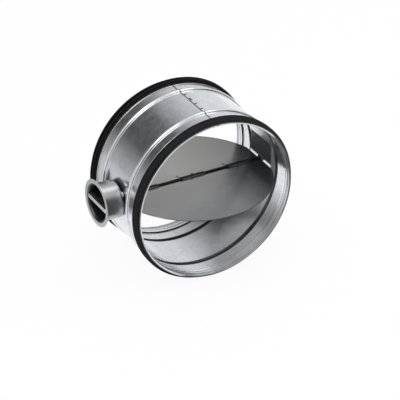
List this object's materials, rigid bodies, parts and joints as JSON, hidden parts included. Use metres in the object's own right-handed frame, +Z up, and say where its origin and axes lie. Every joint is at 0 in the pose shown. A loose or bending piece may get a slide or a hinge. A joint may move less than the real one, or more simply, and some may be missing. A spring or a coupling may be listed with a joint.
{
  "type": "manual volume control damper",
  "caption": "Round duct damper: beaded steel casing with gasketed spigots, a disc blade on a through shaft, and a raised cup handle with a grip bar and a lock screw.",
  "frame": {"origin": "centre of the front spigot's mouth, on the duct's axis", "axes": "+Y runs along the duct from the front spigot to the rear one, +Z is up, square to the open blade, and the shaft lies along X with the handle at -X"},
  "size_m": [0.2834, 0.2424, 0.2588],
  "materials": {
    "galvanised_casing": "hot dip galvanised sheet, fairly bright",
    "galvanised_blade": "hot dip galvanised sheet, dull",
    "galvanised_cup": "deep drawn galvanised sheet",
    "gasket_rubber": "extruded EPDM rubber, satin",
    "seal_rubber": "moulded ring, satin",
    "bush_plastic": "moulded polyamide",
    "shaft_steel": "drawn bar, zinc plated",
    "fastener_steel": "zinc plated",
    "spring_steel": "oiled spring steel",
    "insert_plastic": "moulded black plastic",
    "bar_steel": "zinc plated flat bar",
    "pad_plastic": "natural acetal"
  },
  "bodies": {
    "housing": {"casing": "galvanised_casing", "front_gasket": "gasket_rubber", "rear_gasket": "gasket_rubber", "handle_side_bush": "bush_plastic", "far_side_bush": "bush_plastic", "handle_side_shaft_seal": "seal_rubber", "far_side_shaft_seal": "seal_rubber"},
    "blade_and_handle": {"shaft": "shaft_steel", "blade": "galvanised_blade", "blade_rivets": "fastener_steel", "handle_thrust_washer": "fastener_steel", "spring_washer": "spring_steel", "far_side_washer": "fastener_steel", "shaft_clip": "spring_steel", "handle_cup": "galvanised_cup", "handle_insert": "insert_plastic", "grip_bar": "bar_steel", "handle_flat_washer": "fastener_steel", "handle_nut": "fastener_steel", "stop_peg": "fastener_steel", "lock_nut": "fastener_steel"},
    "brake_pad": {"lock_pad": "pad_plastic"},
    "clamp_screw": {"lock_screw": "fastener_steel"}
  },
  "joints": [
    {"name": "blade_turn", "type": "hinge", "parent": "housing", "child": "blade_and_handle", "pos_m": [0, 0.0765, 0], "axis": [1, 0, 0], "range_deg": [0, 90]},
    {"name": "lock_pad_slide", "type": "slide", "parent": "blade_and_handle", "child": "brake_pad", "axis": [1, 0, 0], "range_m": [0, 0.0008]},
    {"name": "lock_screw_turn", "type": "hinge", "parent": "brake_pad", "child": "clamp_screw", "pos_m": [-0.1288, 0.06118, 0.01286], "axis": [1, 0, 0], "range_deg": [0, 360]}
  ],
  "couplings": [
    {"joint": "lock_screw_turn", "follows": "lock_pad_slide", "rad_per_m": 7854}
  ]
}
